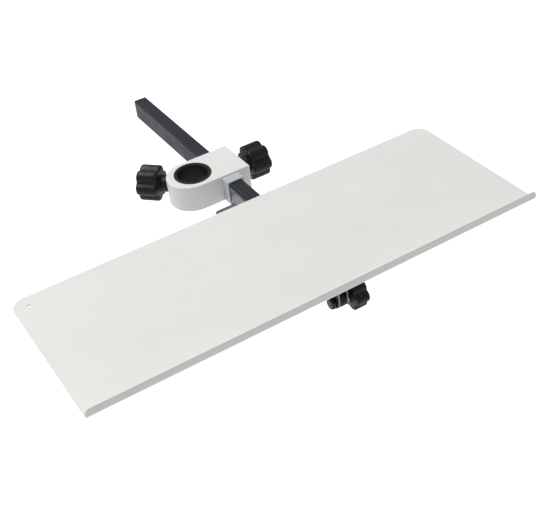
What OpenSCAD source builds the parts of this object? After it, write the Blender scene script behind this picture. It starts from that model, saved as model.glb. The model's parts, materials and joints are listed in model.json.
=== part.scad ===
// Pole-mounted drawing board.
// A long sheet-metal board tilts on the front end of a flat bar. The bar slides through a clamp,
// and the clamp grips an upright pole. Three star knobs lock the pole, the bar and the tilt.
// Origin: on the pole's axis, half way up the clamp. +X along the board, +Y away from the user, +Z up.

/* [Board] */
// Length of the board, side to side
board_l = 620; // [480:10:760]
// Depth of the board, from the back edge to the outside of the front lip
board_d = 231; // [200:1:260]
// Thickness of the sheet
board_t = 2; // [1.5:0.1:2.5]
// Radius of the two back corners
board_corner_r = 18; // [6:1:30]
// Height of the front lip above the board's underside
lip_h = 13.5; // [9:0.5:25]
// Outer radius of the bend at the front lip
lip_bend_r = 5; // [3.5:0.5:7]
// Radius of the lip's two top corners
lip_corner_r = 6; // [2:0.5:8]
// Distance from the pole's axis to the board's back edge
board_back = 105.5; // [102:0.5:130]
// Sideways offset of the board's middle from the pole
board_x = 2; // [0:1:6]
// Diameter of the hanging hole
hang_d = 5; // [3:0.5:8]
// Distance of the hanging hole from both edges of its corner
hang_inset = 18.5; // [10:0.5:40]

/* [Bar] */
// Width of the bar
bar_w = 20; // [18:1:22]
// Height of the bar
bar_h = 30; // [26:1:30]
// Wall thickness of the bar
bar_wall = 2; // [1.5:0.1:2.5]
// Sideways offset of the bar from the pole
bar_x = 39.6; // [37:0.2:41]
// Distance from the pole's axis to the bar's back end
bar_back = 248; // [200:1:300]

/* [Clamp] */
// Height of the clamp block
clamp_h = 39; // [37:1:50]
// Width of the clamp block, front to back
clamp_w = 68; // [64:1:76]
// Distance from the pole's axis to the clamp's square end
clamp_right = 72; // [70:1:80]
// How far the round end's centre lies beyond the pole's axis
clamp_nose = 3.5; // [0:0.5:5]
// Rounding of the clamp's edges
clamp_edge_r = 2; // [1:0.5:4]
// Radius of the pole that the bush takes, with its sliding clearance
pole_r = 21.3; // [18:0.1:22]
// Wall thickness of the bush around the pole
bush_wall = 4.8; // [4:0.2:6]
// Thickness of the sleeve around the bar
sleeve_wall = 2.4; // [2:0.1:2.4]
// How far the sleeve stands out in front of the clamp
sleeve_front = 16; // [8:1:20]

/* [Knobs] */
// Diameter of the two clamp knobs
knob_d = 50; // [40:1:56]
// Thickness of the lobed part of the clamp knobs
knob_t = 30; // [20:1:34]
// Diameter of the tilt knob
tilt_knob_d = 40; // [32:1:42]
// Thickness of the lobed part of the tilt knob
tilt_knob_t = 19; // [14:1:24]
// Number of lobes on each knob
lobes = 6; // [5:1:8]
// Direction of the pole knob, anticlockwise from +X as seen from above
pole_knob_angle = 134; // [130:1:180]

/* [Tilt joint] */
// Distance from the pole's axis forward to the tilt axis
pivot_front = 311.5; // [300:0.5:315]
// Depth of the tilt axis below the bar's centre line
pivot_drop = 13; // [12:1:20]
// Radius of the round ends of the ears and tongue
ear_r = 8.5; // [8.5:0.5:12]
// How far the tongue stands out to the left of the bar
tongue_offset = 6.7; // [2.5:0.1:7]
// Thickness of the bracket's sheet
bracket_t = 2; // [2:0.1:3]
// Depth of the rail along the bar's left side
rail_d = 4; // [3:0.5:5]
// Gap between the rail's back end and the sleeve
rail_gap = 4; // [2:0.5:10]

/* [Hidden] */
$fn = 96;
eps = 0.01;
fit_gap = 0.05;                                   // radial gap of a running fit
slide_gap = 0.2;                                  // gap between the bar and its sleeve

clamp_r = clamp_w / 2;
bush_r = pole_r + bush_wall;
bush_h = clamp_h + 1.6;
bush_chamfer = 1.3;
pad_window_r = 6.3;

bar_left = bar_x - bar_w / 2;
bar_right = bar_x + bar_w / 2;
bar_corner_r = 2;
bar_front = -pivot_front + 28;                    // y of the tube's front end
rear_cap_t = 3;

sleeve_w = bar_w + 2 * slide_gap + 2 * sleeve_wall;
sleeve_h = bar_h + 2 * slide_gap + 2 * sleeve_wall;
sleeve_y0 = -clamp_r - sleeve_front;
sleeve_y1 = clamp_r + 1;

screw_r = 5;                                      // M10 clamp screws
pole_hub_l = 11.5;
bar_hub_l = 10.5;
hub_r = 11.5;
knob_gap = 1;
pole_pad_t = 3.4;
bar_pad_t = 2.6;
bar_pad_r = 8;

// The two clamp locks, each measured outwards along its own screw
pad_face = pole_r + 0.15;
pole_screw_x0 = pad_face + pole_pad_t;
nose_reach = sqrt(clamp_r ^ 2 - (clamp_nose * sin(pole_knob_angle)) ^ 2) - clamp_nose * cos(pole_knob_angle);
pole_hub_x0 = nose_reach + knob_gap;
pole_screw_x1 = pole_hub_x0 + pole_hub_l + knob_t * 0.6;
bar_pad_x0 = bar_right + 0.05;
bar_screw_x0 = bar_pad_x0 + bar_pad_t;
bar_hub_x0 = clamp_right + knob_gap;
bar_screw_x1 = bar_hub_x0 + bar_hub_l + knob_t * 0.6;

rest_pad_t = 0.6;
web_z0 = bar_h / 2 + rest_pad_t;                  // underside of the bracket's web
web_z1 = web_z0 + bracket_t;                      // underside of the board
board_top = web_z1 + board_t;
board_front = -board_back - board_d;
pivot_y = -pivot_front;
pivot_z = -pivot_drop;

// The tilt joint's stack, from left to right along X
bolt_r = 4;
bolt_head_t = 6;
washer_t = 1.6;
washer_r = 8;
friction_t = 1;
tongue_t = 8;
tongue_x0 = bar_left - tongue_offset;
tongue_x1 = tongue_x0 + tongue_t;
left_ear_x1 = tongue_x0 - friction_t;
left_ear_x0 = left_ear_x1 - bracket_t;
right_ear_x0 = tongue_x1 + friction_t;
right_ear_x1 = right_ear_x0 + bracket_t;
thrust_x1 = right_ear_x1 + washer_t;
nut_x1 = thrust_x1 + 8;
bolt_head_x0 = left_ear_x0 - washer_t - bolt_head_t;
bolt_end = thrust_x1 + 17;

web_x0 = 12.5;
web_x1 = 69;
web_back = pivot_y + 169;
web_front = pivot_y - ear_r - 1;
rail_back = sleeve_y0 - rail_gap;
rail_front = pivot_y + 46;
rail_z0 = -bar_h / 2;
rail_z1 = bar_h / 2 - 3;
rail_wall = 2;
rail_screw_y = [rail_back - 30, rail_front + 15];
strip_x0 = -20;
strip_x1 = 12;
strip_back = -board_back + 9;
strip_front = pivot_y + 20;
stud_r = 2.5;
stud_l = 10;
stud_x = [18, 63];
stud_y = [web_back - 20, pivot_y + 14];
nut_af = 8;
nut_t = 4;
grub_y = [bar_front + 9, bar_front + 21];

WHITE = [0.93, 0.93, 0.91];
GRAPHITE = [0.25, 0.26, 0.29];
BLACK = [0.08, 0.08, 0.08];
LIGHT_GREY = [0.72, 0.74, 0.77];
MID_GREY = [0.6, 0.6, 0.6];
STEEL = [0.7, 0.7, 0.72];
BRASS = [0.75, 0.6, 0.3];

// ---------- helpers ----------

// Flat rectangle with round corners, centred
module rounded_rect(w, h, r) {
    square([w - 2 * r, h], center = true);
    square([w, h - 2 * r], center = true);
    for (sx = [-1, 1], sy = [-1, 1])
        translate([sx * (w / 2 - r), sy * (h / 2 - r)]) circle(r);
}

// Stands a flat shape drawn in Y and Z upright, and gives it a thickness from x0 to x1
module along_x(x0, x1) {
    translate([x0, 0, 0]) rotate([90, 0, 90]) linear_extrude(x1 - x0) children();
}

// Stands a flat shape drawn in X and Z upright, and gives it a length from y0 to y1
module along_y(y0, y1) {
    translate([0, y1, 0]) rotate([90, 0, 0]) linear_extrude(y1 - y0) children();
}

// Cylinder along X from x0 to x1
module rod_x(r, x0, x1) {
    translate([x0, 0, 0]) rotate([0, 90, 0]) cylinder(r = r, h = x1 - x0);
}

// Cylinder along X on the tilt axis
module pivot_rod(r, x0, x1) {
    translate([0, pivot_y, pivot_z]) rod_x(r, x0, x1);
}

// Ring on the tilt axis
module pivot_ring(r, hole_r, x0, x1) {
    difference() {
        pivot_rod(r, x0, x1);
        pivot_rod(hole_r, x0 - 1, x1 + 1);
    }
}

// Point where a line from q touches the circle of radius r round p, on the given side
function touch_point(p, r, q, side) =
    let (d = q - p, dist = norm(d), turn = side * acos(r / dist), dir = atan2(d[1], d[0]))
    p + r * [cos(dir + turn), sin(dir + turn)];

// Turns +X to the pole knob's direction
module at_pole_knob() {
    rotate([0, 0, pole_knob_angle]) children();
}

// Star knob along +X: the hub starts at x = 0, and the lobed part is d across and t thick
module star_knob(d, t, hub_l, hub_r, bore_r, bore_l, cap_r, cap_t) {
    scallop_r = d * 0.17;
    edge = d * 0.09;
    difference() {
        union() {
            rod_x(hub_r, 0, hub_l + 1);
            intersection() {
                rotate([0, 90, 0]) rotate_extrude() polygon([
                    [0, hub_l], [d / 2 - edge, hub_l], [d / 2, hub_l + edge],
                    [d / 2, hub_l + t - edge], [d / 2 - edge, hub_l + t], [0, hub_l + t]]);
                rotate([90, 0, 90]) linear_extrude(hub_l + t + 1) difference() {
                    circle(d / 2);
                    for (i = [0 : lobes - 1])
                        rotate((i + 0.5) * 360 / lobes)
                            translate([d / 2 + scallop_r * 0.45, 0]) circle(scallop_r);
                }
            }
        }
        rod_x(bore_r, -1, bore_l);
        if (cap_t > 0) rod_x(cap_r, hub_l + t - cap_t, hub_l + t + 1);
    }
}

// ---------- clamp ----------

module clamp_outline_solid() {
    // Round end, with rounded top and bottom edges
    translate([-clamp_nose, 0, 0]) rotate_extrude() intersection() {
        rounded_rect(clamp_w, clamp_h, clamp_edge_r);
        translate([0, -clamp_h]) square([clamp_w, 2 * clamp_h]);
    }
    // Square end, rounded along every long edge and at its far end
    intersection() {
        along_x(-clamp_nose, clamp_right) rounded_rect(clamp_w, clamp_h, clamp_edge_r);
        translate([0, 0, -clamp_h]) linear_extrude(2 * clamp_h)
            rounded_rect(2 * clamp_right, clamp_w, clamp_edge_r * 1.5);
        along_y(-clamp_w, clamp_w) rounded_rect(2 * clamp_right, clamp_h, clamp_edge_r);
    }
}

module clamp_block() {
    color(WHITE) difference() {
        clamp_outline_solid();
        translate([0, 0, -clamp_h]) cylinder(r = bush_r + fit_gap, h = 2 * clamp_h);
        sleeve_window();
        at_pole_knob() rod_x(screw_r + fit_gap, bush_r - 1, clamp_w);
        at_pole_knob() rod_x(pad_window_r, bush_r - 1, bush_r + 2);    // room for the pad to back off
        rod_x(screw_r + fit_gap, bar_right, clamp_right + 1);
        rod_x(bar_pad_r + 0.5, bar_right, bar_right + slide_gap + sleeve_wall + 3);
    }
}

// Square window for the bar's sleeve, which also keeps a thicker bush clear of the sleeve
module sleeve_window() {
    translate([bar_x - sleeve_w / 2, -clamp_w, -sleeve_h / 2])
        cube([sleeve_w, 2 * clamp_w, sleeve_h]);
}

module pole_bush() {
    color(BLACK) difference() {
        translate([0, 0, -bush_h / 2]) cylinder(r = bush_r, h = bush_h);
        translate([0, 0, -bush_h]) cylinder(r = pole_r, h = 2 * bush_h);
        for (side = [0, 1]) mirror([0, 0, side])
            translate([0, 0, bush_h / 2 - bush_chamfer])
                cylinder(r1 = pole_r, r2 = pole_r + bush_chamfer, h = bush_chamfer);
        sleeve_window();
        at_pole_knob() rod_x(pad_window_r, pole_r - 5, bush_r + 5);
    }
}

module bar_sleeve() {
    color(LIGHT_GREY) difference() {
        translate([bar_x, 0, 0]) along_y(sleeve_y0, sleeve_y1) difference() {
            square([sleeve_w, sleeve_h], center = true);
            square([bar_w + 2 * slide_gap, bar_h + 2 * slide_gap], center = true);
        }
        rod_x(bar_pad_r + 0.5, bar_x, bar_x + bar_w);
    }
}

// ---------- pole lock ----------

module pole_pad() {
    color(BRASS) at_pole_knob() rod_x(pad_window_r - 0.3, pad_face, pole_screw_x0);
}

module pole_screw() {
    color(STEEL) at_pole_knob() rod_x(screw_r, pole_screw_x0, pole_screw_x1);
}

module pole_knob() {
    color(BLACK) at_pole_knob() translate([pole_hub_x0, 0, 0])
        star_knob(knob_d, knob_t, pole_hub_l, hub_r, screw_r, pole_screw_x1 - pole_hub_x0,
                  knob_d * 0.2, 2);
}

module knob_cap(x0, r) {
    rod_x(r, x0, x0 + 2.6);
}

module pole_knob_cap() {
    color(BLACK) at_pole_knob() knob_cap(pole_hub_x0 + pole_hub_l + knob_t - 2, knob_d * 0.2 - 0.15);
}

// ---------- bar lock ----------

module bar_pad() {
    color(BRASS) rod_x(bar_pad_r, bar_pad_x0, bar_screw_x0);
}

module bar_screw() {
    color(STEEL) rod_x(screw_r, bar_screw_x0, bar_screw_x1);
}

module bar_knob() {
    color(BLACK) translate([bar_hub_x0, 0, 0])
        star_knob(knob_d, knob_t, bar_hub_l, hub_r, screw_r, bar_screw_x1 - bar_hub_x0,
                  knob_d * 0.2, 2);
}

module bar_knob_cap() {
    color(BLACK) knob_cap(bar_hub_x0 + bar_hub_l + knob_t - 2, knob_d * 0.2 - 0.15);
}

// ---------- bar ----------

module bar_tube() {
    color(GRAPHITE) difference() {
        translate([bar_x, 0, 0]) along_y(bar_front, bar_back - rear_cap_t) difference() {
            rounded_rect(bar_w, bar_h, bar_corner_r);
            square([bar_w - 2 * bar_wall, bar_h - 2 * bar_wall], center = true);
        }
        for (y = grub_y) translate([0, y, 0]) rod_x(2.5, bar_x, bar_right + 1);
        for (y = rail_screw_y) translate([0, y, 0]) rod_x(2, bar_left - 1, bar_x);
    }
}

// Channel along the bar's left side, open to the left: it stops the bar at the sleeve
module stop_rail() {
    color(MID_GREY) difference() {
        translate([bar_left - rail_d, rail_front, rail_z0])
            cube([rail_d, rail_back - rail_front, rail_z1 - rail_z0]);
        translate([bar_left - rail_d - 1, rail_front - 1, rail_z0 + rail_wall])
            cube([rail_d - rail_wall + 1, rail_back - rail_front + 2, rail_z1 - rail_z0 - 2 * rail_wall]);
        for (y = rail_screw_y) translate([0, y, 0]) rod_x(2, bar_left - rail_wall - 1, bar_left + 1);
    }
}

module rail_screws() {
    color(STEEL) for (y = rail_screw_y) translate([0, y, 0]) difference() {
        union() {
            rod_x(2, bar_left - rail_wall, bar_left + bar_wall + 1.5);
            rod_x(3.6, bar_left - rail_wall - 1.8, bar_left - rail_wall);
        }
        translate([bar_left - rail_wall - 2.8, 0, 0]) rotate([0, 90, 0])
            cylinder(r = 1.45, h = 2.2, $fn = 6);
    }
}

module bar_rear_cap() {
    color(BLACK) translate([bar_x, 0, 0]) {
        along_y(bar_back - rear_cap_t, bar_back) rounded_rect(bar_w, bar_h, bar_corner_r);
        along_y(bar_back - rear_cap_t - 12, bar_back - rear_cap_t)
            square([bar_w - 2 * bar_wall, bar_h - 2 * bar_wall], center = true);
    }
}

module bar_end_fitting() {
    flange_y = bar_front - 4;
    pivot = [pivot_y, pivot_z];
    top_corner = [flange_y, bar_h / 2 - 2];
    low_corner = [flange_y, -bar_h / 2];
    color(GRAPHITE) difference() {
        union() {
            translate([bar_x, 0, 0]) {
                along_y(bar_front, bar_front + 30)
                    square([bar_w - 2 * bar_wall, bar_h - 2 * bar_wall], center = true);
            }
            // The flange reaches past the bar's left side to carry the tongue
            translate([(tongue_x0 + bar_right) / 2, 0, 0]) along_y(flange_y, bar_front)
                rounded_rect(bar_right - tongue_x0, bar_h, bar_corner_r);
            along_x(tongue_x0, tongue_x1) {
                translate(pivot) circle(ear_r);
                polygon([pivot, touch_point(pivot, ear_r, top_corner, 1), top_corner,
                         [bar_front, top_corner[1]], [bar_front, low_corner[1]], low_corner,
                         touch_point(pivot, ear_r, low_corner, -1)]);
            }
        }
        pivot_rod(bolt_r + fit_gap, tongue_x0 - 1, tongue_x1 + 1);
        for (y = grub_y) translate([0, y, 0]) rod_x(2.5, bar_x + 3, bar_right + 1);
    }
}

module fitting_screws() {
    color(STEEL) for (y = grub_y) translate([0, y, 0]) difference() {
        rod_x(2.5, bar_x + 3, bar_right - 0.3);
        translate([bar_right - 2.3, 0, 0]) rotate([0, 90, 0]) cylinder(r = 1.45, h = 5, $fn = 6);
    }
}

// ---------- board ----------

module board() {
    inner_r = lip_bend_r - board_t;
    bend = [board_front + lip_bend_r, web_z1 + lip_bend_r];
    lip_top = web_z1 + lip_h;
    color(WHITE) difference() {
        intersection() {
            // The folded sheet, as one profile
            along_x(board_x - board_l / 2, board_x + board_l / 2) {
                translate([bend[0], web_z1]) square([board_d - lip_bend_r, board_t]);
                translate([board_front, bend[1]]) square([board_t, lip_top - board_t / 2 - bend[1]]);
                translate([board_front + board_t / 2, lip_top - board_t / 2]) circle(board_t / 2);
                intersection() {
                    translate(bend) difference() {
                        circle(lip_bend_r);
                        circle(inner_r);
                    }
                    translate([board_front, web_z1]) square(lip_bend_r);
                }
            }
            // The plan, with two round back corners
            translate([board_x, -board_back - board_d / 2 - board_corner_r, -board_l])
                linear_extrude(2 * board_l)
                    rounded_rect(board_l, board_d + 2 * board_corner_r, board_corner_r);
            // The front view, with round corners on the lip
            along_y(board_front - 1, -board_back + 1)
                translate([board_x, lip_top - board_l / 2])
                    rounded_rect(board_l, board_l, lip_corner_r);
        }
        translate([board_x - board_l / 2 + hang_inset, -board_back - hang_inset, 0])
            cylinder(d = hang_d, h = 2 * board_top);
    }
}

module ear_profile() {
    translate([pivot_y, pivot_z]) circle(ear_r);
    translate([pivot_y - ear_r, pivot_z]) square([2 * ear_r, web_z0 - pivot_z + eps]);
}

module tilt_bracket() {
    color(MID_GREY) difference() {
        union() {
            translate([web_x0, web_front, web_z0])
                cube([web_x1 - web_x0, web_back - web_front, bracket_t]);
            along_x(left_ear_x0, left_ear_x1) ear_profile();
            along_x(right_ear_x0, right_ear_x1) ear_profile();
        }
        pivot_rod(bolt_r + fit_gap, left_ear_x0 - 1, right_ear_x1 + 1);
        for (x = stud_x, y = stud_y)
            translate([x, y, 0]) cylinder(r = stud_r + 0.2, h = 2 * board_top);
    }
}

module stiffening_strip() {
    w = strip_x1 - strip_x0;
    l = strip_back - strip_front;
    color(MID_GREY) translate([strip_x0 + w / 2, strip_front + l / 2, web_z0])
        linear_extrude(bracket_t) rounded_rect(w, l, 5);
}

module board_studs() {
    color(STEEL) for (x = stud_x, y = stud_y)
        translate([x, y, web_z1 - stud_l]) cylinder(r = stud_r, h = stud_l);
}

module board_nuts() {
    color(STEEL) for (x = stud_x, y = stud_y)
        translate([x, y, web_z0 - nut_t]) difference() {
            cylinder(r = nut_af / sqrt(3), h = nut_t, $fn = 6);
            translate([0, 0, -1]) cylinder(r = stud_r + fit_gap, h = nut_t + 2);
        }
}

module rest_pads() {
    color(BLACK) for (y = [web_back - 15, pivot_y + 61])
        translate([bar_x, y, bar_h / 2]) cylinder(r = 6, h = rest_pad_t);
}

// ---------- tilt lock ----------

module tilt_bolt() {
    color(BLACK) {
        pivot_rod(bolt_r, left_ear_x0 - washer_t, bolt_end);
        translate([bolt_head_x0, pivot_y, pivot_z]) rotate([0, 90, 0])
            cylinder(r = 13 / sqrt(3), h = bolt_head_t, $fn = 6);
    }
}

module bolt_washer() {
    color(BLACK) pivot_ring(washer_r, bolt_r + fit_gap, left_ear_x0 - washer_t, left_ear_x0);
}

module friction_washers() {
    color(BLACK) {
        pivot_ring(washer_r, bolt_r + fit_gap, left_ear_x1, tongue_x0);
        pivot_ring(washer_r, bolt_r + fit_gap, tongue_x1, right_ear_x0);
    }
}

module thrust_washer() {
    color(STEEL) pivot_ring(washer_r, bolt_r + fit_gap, right_ear_x1, thrust_x1);
}

module tilt_knob() {
    color(BLACK) difference() {
        translate([thrust_x1, pivot_y, pivot_z])
            star_knob(tilt_knob_d, tilt_knob_t, 4, 9, bolt_r + 0.5, tilt_knob_t, 1, 0);
        translate([thrust_x1 - 1, pivot_y, pivot_z]) rotate([0, 90, 0])
            cylinder(r = 13 / sqrt(3), h = nut_x1 - thrust_x1 + 1, $fn = 6);
    }
}

module tilt_knob_nut() {
    color(STEEL) difference() {
        translate([thrust_x1, pivot_y, pivot_z]) rotate([0, 90, 0])
            cylinder(r = 13 / sqrt(3), h = nut_x1 - thrust_x1, $fn = 6);
        pivot_rod(bolt_r + fit_gap, thrust_x1 - 1, nut_x1 + 1);
    }
}

clamp_block();
pole_bush();
bar_sleeve();
pole_pad();
pole_screw();
pole_knob();
pole_knob_cap();
bar_pad();
bar_screw();
bar_knob();
bar_knob_cap();
bar_tube();
bar_rear_cap();
bar_end_fitting();
fitting_screws();
stop_rail();
rail_screws();
board();
tilt_bracket();
stiffening_strip();
board_studs();
board_nuts();
rest_pads();
tilt_bolt();
bolt_washer();
friction_washers();
thrust_washer();
tilt_knob();
tilt_knob_nut();
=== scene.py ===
import json
import math

import bmesh
import bpy
from mathutils import Matrix, Vector

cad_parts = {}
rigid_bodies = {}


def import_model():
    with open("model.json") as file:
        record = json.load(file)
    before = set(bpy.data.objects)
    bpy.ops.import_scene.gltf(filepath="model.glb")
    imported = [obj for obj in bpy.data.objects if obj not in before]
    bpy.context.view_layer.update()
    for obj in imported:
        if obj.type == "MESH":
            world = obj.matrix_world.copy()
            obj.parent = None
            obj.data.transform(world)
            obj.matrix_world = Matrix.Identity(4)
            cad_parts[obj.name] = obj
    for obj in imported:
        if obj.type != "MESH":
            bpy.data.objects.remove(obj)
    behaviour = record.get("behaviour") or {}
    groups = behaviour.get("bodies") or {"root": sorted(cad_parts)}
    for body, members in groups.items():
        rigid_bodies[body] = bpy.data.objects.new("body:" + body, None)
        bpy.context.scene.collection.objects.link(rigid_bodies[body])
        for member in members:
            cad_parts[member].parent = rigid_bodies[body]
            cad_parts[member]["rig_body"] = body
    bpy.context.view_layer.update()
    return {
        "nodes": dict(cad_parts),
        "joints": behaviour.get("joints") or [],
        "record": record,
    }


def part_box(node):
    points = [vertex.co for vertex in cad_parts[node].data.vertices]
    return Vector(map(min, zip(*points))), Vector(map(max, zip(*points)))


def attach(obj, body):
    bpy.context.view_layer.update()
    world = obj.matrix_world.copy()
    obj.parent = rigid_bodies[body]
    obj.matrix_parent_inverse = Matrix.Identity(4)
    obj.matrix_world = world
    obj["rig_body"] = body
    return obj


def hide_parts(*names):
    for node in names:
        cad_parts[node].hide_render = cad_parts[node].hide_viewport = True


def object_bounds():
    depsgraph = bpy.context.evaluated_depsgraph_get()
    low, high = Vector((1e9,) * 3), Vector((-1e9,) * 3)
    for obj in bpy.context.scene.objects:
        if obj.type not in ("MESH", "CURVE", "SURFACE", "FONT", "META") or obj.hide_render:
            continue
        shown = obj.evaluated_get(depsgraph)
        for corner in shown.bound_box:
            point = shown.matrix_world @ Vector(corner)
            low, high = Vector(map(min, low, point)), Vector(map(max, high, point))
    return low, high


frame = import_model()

MM = 0.001


# ---------- materials ----------

class Surface:
    """A Principled material, with short ways to add the nodes that it needs."""

    def __init__(self, name, metallic=0.0, specular=0.5):
        self.material = bpy.data.materials.new(name)
        self.material.use_nodes = True
        self.tree = self.material.node_tree
        self.shader = self.tree.nodes["Principled BSDF"]
        self.shader.inputs["Metallic"].default_value = metallic
        self.shader.inputs["Specular IOR Level"].default_value = specular
        self.place = self.add("ShaderNodeTexCoord").outputs["Object"]

    def add(self, kind, **settings):
        node = self.tree.nodes.new(kind)
        for name, value in settings.items():
            setattr(node, name, value)
        return node

    def feed(self, socket, value):
        """Links an output to an input socket, or sets a plain value on it."""
        if isinstance(value, bpy.types.NodeSocket):
            self.tree.links.new(value, socket)
        else:
            socket.default_value = value

    def stretched(self, scale):
        """Object coordinates, scaled unevenly along the axes."""
        mapping = self.add("ShaderNodeMapping")
        self.feed(mapping.inputs["Vector"], self.place)
        mapping.inputs["Scale"].default_value = scale
        return mapping.outputs["Vector"]

    def noise(self, size, detail=2.0, roughness=0.5, place=None):
        """Noise whose blobs are about size metres across."""
        node = self.add("ShaderNodeTexNoise")
        self.feed(node.inputs["Vector"], place or self.place)
        node.inputs["Scale"].default_value = 1.0 / size
        node.inputs["Detail"].default_value = detail
        node.inputs["Roughness"].default_value = roughness
        return node.outputs["Fac"]

    def cells(self, size):
        """Distance to the nearest of many random points about size metres apart."""
        node = self.add("ShaderNodeTexVoronoi")
        self.feed(node.inputs["Vector"], self.place)
        node.inputs["Scale"].default_value = 1.0 / size
        return node.outputs["Distance"]

    def levels(self, value, low, high, to_low=0.0, to_high=1.0):
        """Maps low..high to to_low..to_high, and clamps."""
        node = self.add("ShaderNodeMapRange", interpolation_type="SMOOTHSTEP")
        self.feed(node.inputs["Value"], value)
        node.inputs["From Min"].default_value = low
        node.inputs["From Max"].default_value = high
        node.inputs["To Min"].default_value = to_low
        node.inputs["To Max"].default_value = to_high
        return node.outputs["Result"]

    def math(self, operation, a, b):
        node = self.add("ShaderNodeMath", operation=operation)
        self.feed(node.inputs[0], a)
        self.feed(node.inputs[1], b)
        return node.outputs[0]

    def blend(self, share, first, second):
        node = self.add("ShaderNodeMix", data_type="RGBA")
        self.feed(node.inputs["Factor"], share)
        self.feed(node.inputs["A"], first if not isinstance(first, tuple) else (*first, 1.0))
        self.feed(node.inputs["B"], second if not isinstance(second, tuple) else (*second, 1.0))
        return node.outputs["Result"]

    def edges(self, radius):
        """1 along sharp edges and 0 on flats, from how far a rounded normal leans from the real one."""
        bevel = self.add("ShaderNodeBevel", samples=6)
        bevel.inputs["Radius"].default_value = radius
        real = self.add("ShaderNodeNewGeometry").outputs["Normal"]
        lean = self.add("ShaderNodeVectorMath", operation="DOT_PRODUCT")
        self.feed(lean.inputs[0], bevel.outputs["Normal"])
        self.feed(lean.inputs[1], real)
        return self.levels(lean.outputs["Value"], 0.995, 0.8)

    def bump(self, height, depth, strength, after=None):
        node = self.add("ShaderNodeBump")
        node.inputs["Strength"].default_value = strength
        node.inputs["Distance"].default_value = depth
        self.feed(node.inputs["Height"], height)
        if after is not None:
            self.feed(node.inputs["Normal"], after)
        return node.outputs["Normal"]

    def finish(self, colour, roughness, normal):
        self.feed(self.shader.inputs["Base Color"], colour)
        self.feed(self.shader.inputs["Roughness"], roughness)
        self.feed(self.shader.inputs["Normal"], normal)
        return self.material


def powder_coat(name, colour, shade, wear_and_highlight_tone, roughness, specular=0.45):
    """Powder-coated sheet: orange peel, faint clouds, a few dust nibs, and edges shifted to another tone,
    partly thin, scuffed coat and partly a painted edge highlight.
    """
    s = Surface(name, specular=specular)
    clouds = s.noise(90 * MM, detail=3)
    colour_out = s.blend(s.levels(clouds, 0.35, 0.7), colour, shade)
    scuffs = s.noise(4 * MM, detail=6, roughness=0.7)
    # Edge tone mask, broken up by scuff noise: partly scuffing of the coat, partly a painted highlight
    # along edges (the edge tone is paler on the dark coats).
    wear_and_edge_highlight = s.math("MULTIPLY", s.edges(0.7 * MM), s.levels(scuffs, 0.42, 0.62, 0.15, 0.8))
    colour_out = s.blend(wear_and_edge_highlight, colour_out, wear_and_highlight_tone)
    grain = s.levels(s.noise(25 * MM, detail=4), 0.3, 0.7, roughness - 0.05, roughness + 0.06)
    rough = s.math("SUBTRACT", grain, s.math("MULTIPLY", wear_and_edge_highlight, 0.08))
    normal = s.bump(s.noise(1.4 * MM, detail=1.5), 0.03 * MM, 0.8)
    nibs = s.levels(s.cells(14 * MM), 0.035, 0.0)
    normal = s.bump(nibs, 0.03 * MM, 0.5, after=normal)
    return s.finish(colour_out, rough, normal)


def moulded_plastic(name, colour, shade, wear_and_highlight_tone, roughness):
    """Fine-grained moulded nylon, a little paler and smoother along its edges, partly from hands rubbing it
    and partly as a painted edge highlight.
    """
    s = Surface(name, specular=0.22)
    mottle = s.noise(12 * MM, detail=4, roughness=0.6)
    colour_out = s.blend(s.levels(mottle, 0.35, 0.7), colour, shade)
    handled = s.levels(s.noise(3 * MM, detail=5), 0.4, 0.65, 0.1, 0.7)
    # Paler edges: partly handling scuffs, partly a painted highlight along edges.
    rubbed_and_edge_highlight = s.math("MULTIPLY", s.edges(0.9 * MM), handled)
    colour_out = s.blend(rubbed_and_edge_highlight, colour_out, wear_and_highlight_tone)
    base = s.levels(s.noise(7 * MM, detail=4), 0.3, 0.7, roughness - 0.07, roughness + 0.07)
    rough = s.math("SUBTRACT", base, s.math("MULTIPLY", rubbed_and_edge_highlight, 0.15))
    normal = s.bump(s.cells(0.5 * MM), 0.035 * MM, 0.7)
    normal = s.bump(s.noise(2.5 * MM, detail=2), 0.03 * MM, 0.6, after=normal)
    return s.finish(colour_out, rough, normal)


def plated_steel(name, colour, shade, roughness, stretch, edge_highlight_colour=(0.8, 0.8, 0.82)):
    """Zinc-plated steel: cloudy plating, drawn or rolled lines along one axis, and a painted highlight
    along its edges.
    """
    s = Surface(name, metallic=1.0, specular=0.5)
    plating = s.noise(9 * MM, detail=5, roughness=0.65)
    colour_out = s.blend(s.levels(plating, 0.35, 0.68), colour, shade)
    lines = s.noise(0.8 * MM, detail=3, roughness=0.6, place=s.stretched(stretch))
    # Painted highlight: edges are blended towards a pale colour, standing in for light catching them.
    edge_highlight = s.edges(0.5 * MM)
    colour_out = s.blend(s.math("MULTIPLY", edge_highlight, 0.4), colour_out, edge_highlight_colour)
    base = s.levels(lines, 0.3, 0.7, roughness - 0.08, roughness + 0.1)
    rough = s.math("SUBTRACT", base, s.math("MULTIPLY", edge_highlight, 0.1))
    normal = s.bump(lines, 0.02 * MM, 0.6)
    return s.finish(colour_out, rough, normal)


def turned_brass(name):
    s = Surface(name, metallic=1.0)
    tarnish = s.noise(3 * MM, detail=5)
    colour = s.blend(s.levels(tarnish, 0.3, 0.7), (0.72, 0.52, 0.22), (0.5, 0.34, 0.13))
    rough = s.levels(s.noise(1.5 * MM, detail=3), 0.3, 0.7, 0.25, 0.42)
    normal = s.bump(s.noise(0.4 * MM, detail=2), 0.01 * MM, 0.6)
    return s.finish(colour, rough, normal)


# ---------- mesh tools ----------

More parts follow.
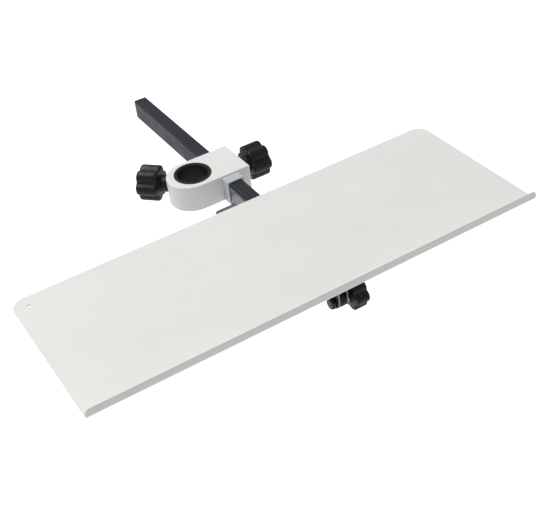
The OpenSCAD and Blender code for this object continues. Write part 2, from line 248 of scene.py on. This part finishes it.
def smooth_by_angle_group():
    """A modifier group that shades smooth, except across edges sharper than 35 degrees."""
    group = bpy.data.node_groups.new("smooth_by_angle", "GeometryNodeTree")
    group.interface.new_socket("Geometry", in_out="INPUT", socket_type="NodeSocketGeometry")
    group.interface.new_socket("Geometry", in_out="OUTPUT", socket_type="NodeSocketGeometry")
    nodes, links = group.nodes, group.links
    start = nodes.new("NodeGroupInput")
    end = nodes.new("NodeGroupOutput")
    clean = nodes.new("GeometryNodeRemoveAttribute")
    clean.inputs["Name"].default_value = "custom_normal"
    smooth = nodes.new("GeometryNodeSetShadeSmooth")
    smooth.domain = "FACE"
    sharp = nodes.new("GeometryNodeSetShadeSmooth")
    sharp.domain = "EDGE"
    sharp.inputs["Shade Smooth"].default_value = False
    angle = nodes.new("GeometryNodeInputMeshEdgeAngle")
    wide = nodes.new("FunctionNodeCompare")
    wide.operation = "GREATER_THAN"
    wide.inputs["B"].default_value = math.radians(35)
    links.new(start.outputs["Geometry"], clean.inputs["Geometry"])
    links.new(clean.outputs["Geometry"], smooth.inputs["Geometry"])
    links.new(angle.outputs["Unsigned Angle"], wide.inputs["A"])
    links.new(smooth.outputs["Geometry"], sharp.inputs["Geometry"])
    links.new(wide.outputs["Result"], sharp.inputs["Selection"])
    links.new(sharp.outputs["Geometry"], end.inputs["Geometry"])
    return group


SMOOTH = smooth_by_angle_group()


def soften(obj, width):
    """Rounds an object's sharp edges with modifiers, which leave its mesh as it is."""
    weld = obj.modifiers.new("weld", "WELD")
    weld.merge_threshold = 0.002 * MM
    merge = obj.modifiers.new("merge_flats", "DECIMATE")
    merge.decimate_type = "DISSOLVE"
    merge.angle_limit = math.radians(0.4)
    bevel = obj.modifiers.new("round_edges", "BEVEL")
    bevel.width = width
    bevel.segments = 3
    bevel.limit_method = "ANGLE"
    bevel.angle_limit = math.radians(40)
    shade = obj.modifiers.new("smooth", "NODES")
    shade.node_group = SMOOTH
    flats = obj.modifiers.new("even_flats", "WEIGHTED_NORMAL")
    flats.mode = "FACE_AREA"
    flats.weight = 100
    flats.keep_sharp = True


def paint(obj, material):
    obj.data.materials.clear()
    obj.data.materials.append(material)


def arc(cx, cr, radius, start, end, steps):
    """Points of an arc in a profile, as (x, r), from one angle to another in degrees."""
    turns = [math.radians(start + (end - start) * i / steps) for i in range(steps + 1)]
    return [(cx + radius * math.cos(t), cr + radius * math.sin(t)) for t in turns]


def turned(name, profile, segments, shape=None):
    """A closed solid turned about +X from (x, r) points; shape(x, r, angle) may reshape each ring."""
    bm = bmesh.new()
    rings = []
    for x, r in profile:
        if r < 1e-7:
            rings.append([bm.verts.new((x, 0, 0))])
            continue
        ring = []
        for i in range(segments):
            a = 2 * math.pi * i / segments
            q = shape(x, r, a) if shape else r
            ring.append(bm.verts.new((x, q * math.cos(a), q * math.sin(a))))
        rings.append(ring)
    for one, two in zip(rings, rings[1:]):
        for i in range(segments):
            corners = [one[i % len(one)], one[(i + 1) % len(one)]]
            corners += [two[(i + 1) % len(two)], two[i % len(two)]]
            corners = list(dict.fromkeys(corners))
            if len(corners) > 2:
                bm.faces.new(corners)
    bmesh.ops.recalc_face_normals(bm, faces=bm.faces)
    mesh = bpy.data.meshes.new(name)
    bm.to_mesh(mesh)
    bm.free()
    obj = bpy.data.objects.new(name, mesh)
    bpy.context.scene.collection.objects.link(obj)
    obj.modifiers.new("smooth", "NODES").node_group = SMOOTH
    return obj


def put(obj, at, axis=(1, 0, 0)):
    """Moves a turned piece so that its x = 0 is at a point and its +X points along axis."""
    turn = Vector((1, 0, 0)).rotation_difference(Vector(axis))
    obj.data.transform(Matrix.Translation(at) @ turn.to_matrix().to_4x4())


def stand_in(obj, node, material):
    """The piece takes a CAD node's place, body and material slot."""
    paint(obj, material)
    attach(obj, frame["nodes"][node]["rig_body"])
    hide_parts(node)


# ---------- pieces that replace plain CAD solids ----------

def lobed(count, radius, depth):
    """A ring shaper: lobes with rounded grooves between them, fading out towards the knob's middle."""
    def shape(x, r, a):
        groove = (0.5 - 0.5 * math.cos(count * a)) ** 1.8
        share = max(0.0, min(1.0, (r / radius - 0.5) / 0.42))
        return r - depth * groove * share ** 1.5
    return shape


def star_knob(name, radius, thickness, hub_l, hub_r, bore_r, bore_l, dish_r, dish_depth, lobes):
    """Moulded star knob along +X, with its hub at x = 0 and a dished face at the far end."""
    front = hub_l + thickness
    edge = 0.16 * radius
    back_edge = 0.12 * radius
    profile = [(bore_l, 0), (bore_l, bore_r), (0.3 * MM, bore_r)]
    profile += [(0, bore_r + 0.3 * MM), (0, hub_r - 0.6 * MM)]
    profile += [(0.6 * MM, hub_r), (hub_l - 2 * MM, hub_r)]
    profile += arc(hub_l - 2 * MM, hub_r + 2 * MM, 2 * MM, -90, 0, 4)
    profile += [(hub_l, 0.62 * radius), (hub_l, 0.8 * radius)]
    profile += arc(hub_l + back_edge, radius - back_edge, back_edge, 180, 90, 5)
    profile += [(hub_l + 0.4 * thickness, radius), (hub_l + 0.6 * thickness, radius)]
    profile += arc(front - edge, radius - edge, edge, 90, 10, 7)
    profile += [(front - 0.15 * MM, 0.72 * radius), (front, 0.62 * radius)]
    profile += [(front, dish_r + 0.9 * MM), (front - 0.3 * MM, dish_r + 0.2 * MM)]
    profile += [(front - 0.8 * MM, dish_r), (front - dish_depth, dish_r), (front - dish_depth, 0)]
    return turned(name, profile, lobes * 20, lobed(lobes, radius, 0.19 * radius))


def knob_cap(name, radius, thickness):
    """Push-in cap with a low dome and a ring groove."""
    profile = [(0, 0), (0, radius - 0.3 * MM), (0.3 * MM, radius)]
    profile += [(thickness - 1.0 * MM, radius), (thickness - 0.55 * MM, radius - 0.25 * MM)]
    profile += [(thickness - 0.4 * MM, 0.82 * radius), (thickness - 0.75 * MM, 0.78 * radius)]
    profile += [(thickness - 0.75 * MM, 0.72 * radius), (thickness - 0.35 * MM, 0.68 * radius)]
    profile += [(thickness - 0.12 * MM, 0.4 * radius), (thickness, 0.15 * radius), (thickness, 0)]
    return turned(name, profile, 72)


def threaded_rod(name, radius, pitch, length):
    """Rod along +X with a helical thread all the way, and a chamfer at each end."""
    depth = 0.6 * pitch
    steps = int(length / pitch * 6)

    def shape(x, r, a):
        phase = (x / pitch - a / (2 * math.pi)) % 1.0
        groove = depth * max(0.0, min(1.0, 1.6 - 3.2 * abs(phase - 0.5)))
        return max(0.2 * MM, min(r, radius - groove * 0.9))

    profile = [(0, 0), (0, radius - depth)]
    for i in range(1, steps):
        x = length * i / steps
        end = min(x, length - x)
        profile.append((x, min(radius, radius - depth + end)))
    profile += [(length, radius - depth), (length, 0)]
    return turned(name, profile, 40, shape)


def hexagon(flats):
    """A ring shaper that trims rings to a hexagon of that size across flats."""
    def shape(x, r, a):
        turn = (a + math.pi / 6) % (math.pi / 3) - math.pi / 6
        return min(r, flats / 2 / math.cos(turn))
    return shape


def hex_body(name, flats, length, bore_r=0.0):
    """Hexagon bar along +X with both ends chamfered, and a bore if one is given."""
    corner = flats / math.sqrt(3)
    rim = flats / 2 * 0.97
    drop = (corner - rim) * 0.5
    outside = [(0, rim), (drop, corner), (length - drop, corner), (length, rim)]
    if bore_r:
        mouth = 0.4 * MM
        bore = [(length, bore_r + mouth), (length - mouth, bore_r), (mouth, bore_r), (0, bore_r + mouth)]
        return turned(name, outside + bore + outside[:1], 72, hexagon(flats))
    return turned(name, [(0, 0)] + outside + [(length, 0)], 72, hexagon(flats))


# ---------- the object ----------

WHITE = powder_coat(
    "white_powder_coat", (0.68, 0.68, 0.66), (0.665, 0.667, 0.648),
    (0.54, 0.54, 0.52), 0.46)
GRAPHITE = powder_coat(
    "graphite_powder_coat", (0.024, 0.027, 0.035), (0.020, 0.023, 0.030),
    (0.075, 0.08, 0.09), 0.46, specular=0.16)
LIGHT_GREY = powder_coat(
    "light_grey_paint", (0.46, 0.485, 0.52), (0.42, 0.445, 0.48),
    (0.6, 0.62, 0.64), 0.4)
BLACK = moulded_plastic(
    "black_nylon", (0.008, 0.008, 0.009), (0.013, 0.013, 0.014),
    (0.045, 0.045, 0.045), 0.46)
# Sheet zinc, much darker than the screws' zinc: painted shade for sheet parts that sit in the board's
# shadow.
ZINC_SHEET_PAINTED_SHADE = plated_steel(
    "zinc_sheet", (0.21, 0.215, 0.225), (0.15, 0.155, 0.165),
    0.42, (1.0, 0.06, 1.0))
ZINC = plated_steel("zinc_steel", (0.6, 0.61, 0.63), (0.48, 0.49, 0.52), 0.34, (0.1, 1.0, 1.0))
BRASS = turned_brass("turned_brass")
# Near-black steel for the tilt bolt: painted shade, a dark colour where the bolt head sits in shadow; its
# edges get a faint painted highlight.
PAINTED_SHADE_STEEL = plated_steel("black_steel", (0.035, 0.036, 0.04), (0.022, 0.023, 0.026), 0.4, (0.1, 1.0, 1.0),
                           edge_highlight_colour=(0.2, 0.2, 0.21))

LOOKS = {
    "white_paint": WHITE, "graphite_paint": GRAPHITE, "light_grey_paint": LIGHT_GREY,
    "black_plastic": BLACK, "zinc_sheet": ZINC_SHEET_PAINTED_SHADE, "zinc_steel": ZINC, "brass": BRASS,
    "black_steel": PAINTED_SHADE_STEEL}
SLOT_OF = {row["node"]: row["material_slot"] for row in frame["record"]["subparts"]}
EDGE_WIDTH = {
    "clamp_block": 0.5 * MM, "pole_bush": 0.35 * MM, "bar_sleeve": 0.4 * MM,
    "bar_tube": 0.3 * MM, "bar_rear_cap": 1.4 * MM, "bar_end_fitting": 0.5 * MM,
    "board": 0.6 * MM, "tilt_bracket": 0.4 * MM, "stiffening_strip": 0.4 * MM,
    "stop_rail": 0.3 * MM}
SMALL_EDGE = 0.15 * MM
LOBES = 6
CLAMP_KNOB_R = 25 * MM
CLAMP_HUB_R = 11.5 * MM
CLAMP_SCREW_R = 5 * MM
CLAMP_SCREW_PITCH = 1.5 * MM
CLAMP_DISH_R = 10 * MM
POLE_HUB_L = 11.5 * MM
BAR_HUB_L = 10.5 * MM
TILT_KNOB_R = 20 * MM
TILT_KNOB_T = 19 * MM
TILT_HUB_L = 4 * MM
TILT_BOLT_R = 4 * MM
TILT_BOLT_PITCH = 1.25 * MM
TILT_HEAD_T = 6 * MM
TILT_FLATS = 13 * MM

for node, obj in frame["nodes"].items():
    paint(obj, LOOKS[SLOT_OF[node]])
    soften(obj, EDGE_WIDTH.get(node, SMALL_EDGE))


def axis_of(joint_name):
    joint = next(j for j in frame["joints"] if j["name"] == joint_name)
    return Vector(joint["axis"]).normalized()


def reach(node, axis):
    """How far a node's mesh starts and ends along an axis through the origin."""
    along = [v.co.dot(axis) for v in frame["nodes"][node].data.vertices]
    return min(along), max(along)


def build_lock(side, hub_l):
    """Knob, cap and threaded screw of one clamp lock, on the CAD's own axis."""
    axis = axis_of(f"{side}_knob_turn")
    knob_0, knob_1 = reach(f"{side}_knob", axis)
    screw_0, screw_1 = reach(f"{side}_screw", axis)
    cap_0, cap_1 = reach(f"{side}_knob_cap", axis)
    knob = star_knob(f"{side}_knob_moulded", CLAMP_KNOB_R, knob_1 - knob_0 - hub_l, hub_l, CLAMP_HUB_R,
                     CLAMP_SCREW_R, screw_1 - knob_0, CLAMP_DISH_R, 2 * MM, LOBES)
    put(knob, axis * knob_0, axis)
    stand_in(knob, f"{side}_knob", BLACK)
    cap = knob_cap(f"{side}_knob_cap_domed", CLAMP_DISH_R - 0.15 * MM, cap_1 - cap_0)
    put(cap, axis * cap_0, axis)
    stand_in(cap, f"{side}_knob_cap", BLACK)
    screw = threaded_rod(f"{side}_screw_threaded", CLAMP_SCREW_R, CLAMP_SCREW_PITCH, screw_1 - screw_0)
    put(screw, axis * screw_0, axis)
    stand_in(screw, f"{side}_screw", ZINC)


build_lock("pole", POLE_HUB_L)
build_lock("bar", BAR_HUB_L)


def build_tilt_lock():
    """Tilt knob, its nut and the through bolt."""
    low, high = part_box("tilt_bolt")
    centre = (low + high) / 2
    head = hex_body("tilt_bolt_head", TILT_FLATS, TILT_HEAD_T)
    put(head, (low.x, centre.y, centre.z))
    # The bolt head is near-black: painted shade.
    paint(head, PAINTED_SHADE_STEEL)
    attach(head, "arm")
    shank = threaded_rod("tilt_bolt_shank", TILT_BOLT_R, TILT_BOLT_PITCH, high.x - low.x - TILT_HEAD_T)
    put(shank, (low.x + TILT_HEAD_T, centre.y, centre.z))
    stand_in(shank, "tilt_bolt", PAINTED_SHADE_STEEL)
    nut_low, nut_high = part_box("tilt_knob_nut")
    nut = hex_body("tilt_knob_nut_chamfered", TILT_FLATS, nut_high.x - nut_low.x, TILT_BOLT_R + 0.05 * MM)
    put(nut, (nut_low.x, centre.y, centre.z))
    stand_in(nut, "tilt_knob_nut", ZINC)
    knob_low, knob_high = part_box("tilt_knob")
    knob = star_knob("tilt_knob_moulded", TILT_KNOB_R, TILT_KNOB_T, TILT_HUB_L, 9 * MM,
                     7.6 * MM, knob_high.x - knob_low.x - TILT_HUB_L, 8 * MM, 0.8 * MM, LOBES)
    put(knob, (knob_low.x, centre.y, centre.z))
    stand_in(knob, "tilt_knob", BLACK)


build_tilt_lock()


# ---------- floor, light and camera ----------

def build_floor():
    low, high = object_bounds()
    middle = (low + high) / 2
    bpy.ops.mesh.primitive_plane_add(size=30, location=(middle.x, middle.y, low.z - 1.6))
    floor = bpy.context.object
    floor.name = "floor"
    s = Surface("pale_floor", specular=0.2)
    s.shader.inputs["Emission Color"].default_value = (1, 1, 1, 1)
    s.shader.inputs["Emission Strength"].default_value = 0.35
    tone = s.levels(s.noise(1.5, detail=2), 0.3, 0.7)
    colour = s.blend(tone, (0.95, 0.95, 0.95), (0.94, 0.94, 0.94))
    paint(floor, s.finish(colour, 0.7, s.bump(s.noise(3 * MM), 0.05 * MM, 0.2)))


def area_light(name, location, target, size, power):
    data = bpy.data.lights.new(name, "AREA")
    data.shape = "DISK"
    data.size = size
    data.energy = power
    lamp = bpy.data.objects.new(name, data)
    lamp.location = location
    lamp.rotation_mode = "QUATERNION"
    lamp.rotation_quaternion = (Vector(target) - Vector(location)).to_track_quat("-Z", "Y")
    bpy.context.scene.collection.objects.link(lamp)


def build_light():
    world = bpy.data.worlds.new("studio")
    bpy.context.scene.world = world
    world.use_nodes = True
    world.node_tree.nodes["Background"].inputs["Color"].default_value = (1, 1, 1, 1)
    world.node_tree.nodes["Background"].inputs["Strength"].default_value = 0.42
    area_light("key", (-1.8, 3.0, 6.0), (0, -0.1, 0), 4.0, 440)
    area_light("fill", (4.0, -3.0, 3.0), (0, -0.1, 0), 4.0, 8)
    bpy.context.scene.view_settings.view_transform = "Standard"


def build_camera():
    data = bpy.data.cameras.new("camera")
    data.sensor_width = 36
    data.lens = 67.2
    camera = bpy.data.objects.new("camera", data)
    right = Vector((0.844, -0.529, -0.093)).normalized()
    forward = Vector((0.368, 0.696, -0.617)).normalized()
    up = right.cross(forward).normalized()
    right = forward.cross(up)
    turn = Matrix((right, up, -forward)).transposed()
    camera.matrix_world = Matrix.Translation((-0.4704, -1.0998, 0.7843)) @ turn.to_4x4()
    bpy.context.scene.collection.objects.link(camera)
    bpy.context.scene.camera = camera


build_floor()
build_light()
build_camera()
